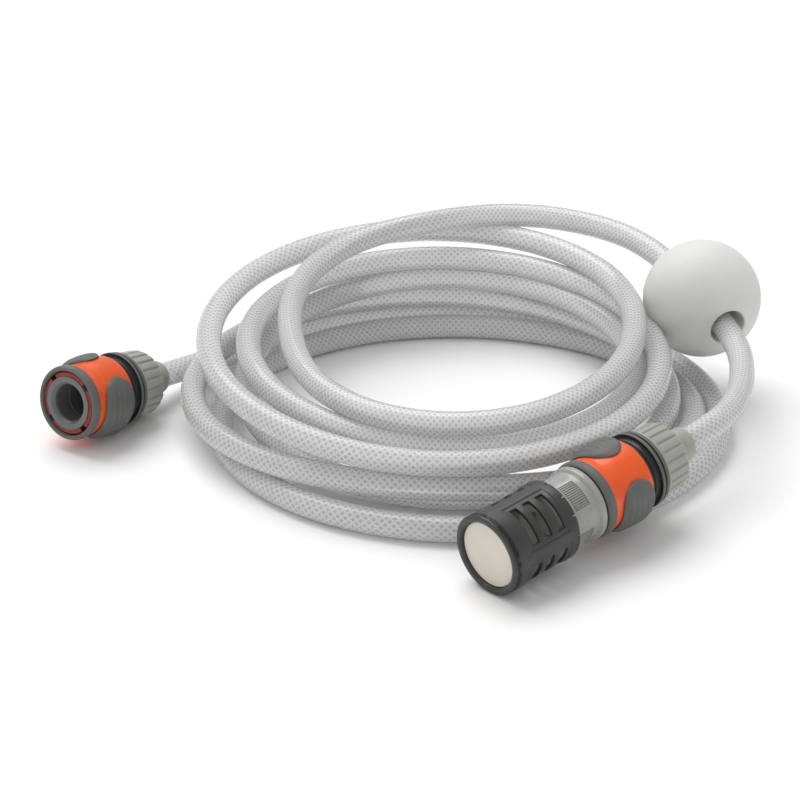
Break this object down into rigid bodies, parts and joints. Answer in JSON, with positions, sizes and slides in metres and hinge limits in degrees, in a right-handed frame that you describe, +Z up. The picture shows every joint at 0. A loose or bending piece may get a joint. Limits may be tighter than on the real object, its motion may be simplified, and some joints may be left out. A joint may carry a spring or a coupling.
{
  "type": "floating suction hose set",
  "caption": "Coiled clear braided suction hose for a pool, with a float ball, quick-release hose couplings and a plug-in slotted strainer with a foot valve.",
  "frame": {"origin": "centre of the fittings' box in plan, on the surface the set lies on", "axes": "+X across the set from the open coupling towards the float ball, +Y away from the strainer's front, +Z up"},
  "size_m": [0.349, 0.3266, 0.076],
  "materials": {
    "hose_clear": "gloss",
    "sleeve_orange": "satin",
    "soft_grey": "matte",
    "body_black": "satin",
    "nut_grey": "satin",
    "claw_red": "satin",
    "housing_grey": "gloss",
    "cage_charcoal": "satin",
    "disc_pale": "satin",
    "spring_steel": "brushed",
    "mesh_steel": "brushed",
    "ball_white": "matte",
    "valve_white": "satin"
  },
  "bodies": {
    "root": {"outlet_socket_body": "body_black", "outlet_latch_ring": "claw_red", "outlet_sleeve_spring": "spring_steel", "outlet_hose_end": "hose_clear", "inlet_socket_body": "body_black", "inlet_latch_ring": "claw_red", "inlet_sleeve_spring": "spring_steel", "inlet_hose_end": "hose_clear", "hose_lead_outlet": "hose_clear", "hose_coil": "hose_clear", "hose_lead_inlet": "hose_clear"},
    "outlet_sleeve": {"outlet_release_sleeve": "sleeve_orange", "outlet_front_ring": "soft_grey", "outlet_sleeve_grips": "soft_grey"},
    "outlet_collet": {"outlet_hose_collet": "nut_grey"},
    "outlet_nut": {"outlet_clamp_nut": "nut_grey"},
    "inlet_sleeve": {"inlet_release_sleeve": "sleeve_orange", "inlet_front_ring": "soft_grey", "inlet_sleeve_grips": "soft_grey"},
    "inlet_collet": {"inlet_hose_collet": "nut_grey"},
    "inlet_nut": {"inlet_clamp_nut": "nut_grey"},
    "strainer": {"valve_housing": "housing_grey", "nipple_seal": "soft_grey", "valve_seat": "valve_white", "valve_spring": "spring_steel"},
    "poppet": {"valve_poppet": "valve_white", "valve_washer": "soft_grey"},
    "cage": {"strainer_cage": "cage_charcoal", "end_disc": "disc_pale", "filter_mesh": "mesh_steel"},
    "ball": {"float_ball": "ball_white"}
  },
  "joints": [
    {"name": "outlet_sleeve_pull", "type": "slide", "parent": "root", "child": "outlet_sleeve", "axis": [0.5796, 0.8007, -0.1513], "range_m": [0, 0.005], "stiffness_N_per_m": 1500},
    {"name": "outlet_nut_travel", "type": "slide", "parent": "root", "child": "outlet_collet", "axis": [0.5796, 0.8007, -0.1513], "range_m": [0, 0.006]},
    {"name": "outlet_nut_turn", "type": "hinge", "parent": "outlet_collet", "child": "outlet_nut", "pos_m": [-0.13384, 0.06183, 0.01719], "axis": [0.5796, 0.8007, -0.1513], "range_deg": [0, 360]},
    {"name": "inlet_sleeve_pull", "type": "slide", "parent": "root", "child": "inlet_sleeve", "axis": [0.7421, 0.6612, 0.1097], "range_m": [0, 0.005], "stiffness_N_per_m": 1500},
    {"name": "inlet_nut_travel", "type": "slide", "parent": "root", "child": "inlet_collet", "axis": [0.7421, 0.6612, 0.1097], "range_m": [0, 0.006]},
    {"name": "inlet_nut_turn", "type": "hinge", "parent": "inlet_collet", "child": "inlet_nut", "pos_m": [0.10911, -0.04643, 0.02981], "axis": [0.7421, 0.6612, 0.1097], "range_deg": [0, 360]},
    {"name": "strainer_unplug", "type": "slide", "parent": "root", "child": "strainer", "axis": [-0.7421, -0.6612, -0.1097], "range_m": [0, 0.026]},
    {"name": "cage_turn", "type": "hinge", "parent": "strainer", "child": "cage", "pos_m": [0.05486, -0.09476, 0.02179], "axis": [0.7421, 0.6612, 0.1097], "range_deg": [0, 45]},
    {"name": "valve_lift", "type": "slide", "parent": "strainer", "child": "poppet", "axis": [0.7421, 0.6612, 0.1097], "range_m": [0, 0.003], "stiffness_N_per_m": 150},
    {"name": "ball_slide", "type": "slide", "parent": "root", "child": "ball", "axis": [0.3763, -0.9084, -0.1822], "range_m": [-0.01, 0.01]}
  ],
  "couplings": [
    {"joint": "outlet_nut_turn", "follows": "outlet_nut_travel", "rad_per_m": 1047.2},
    {"joint": "inlet_nut_turn", "follows": "inlet_nut_travel", "rad_per_m": 1047.2}
  ]
}
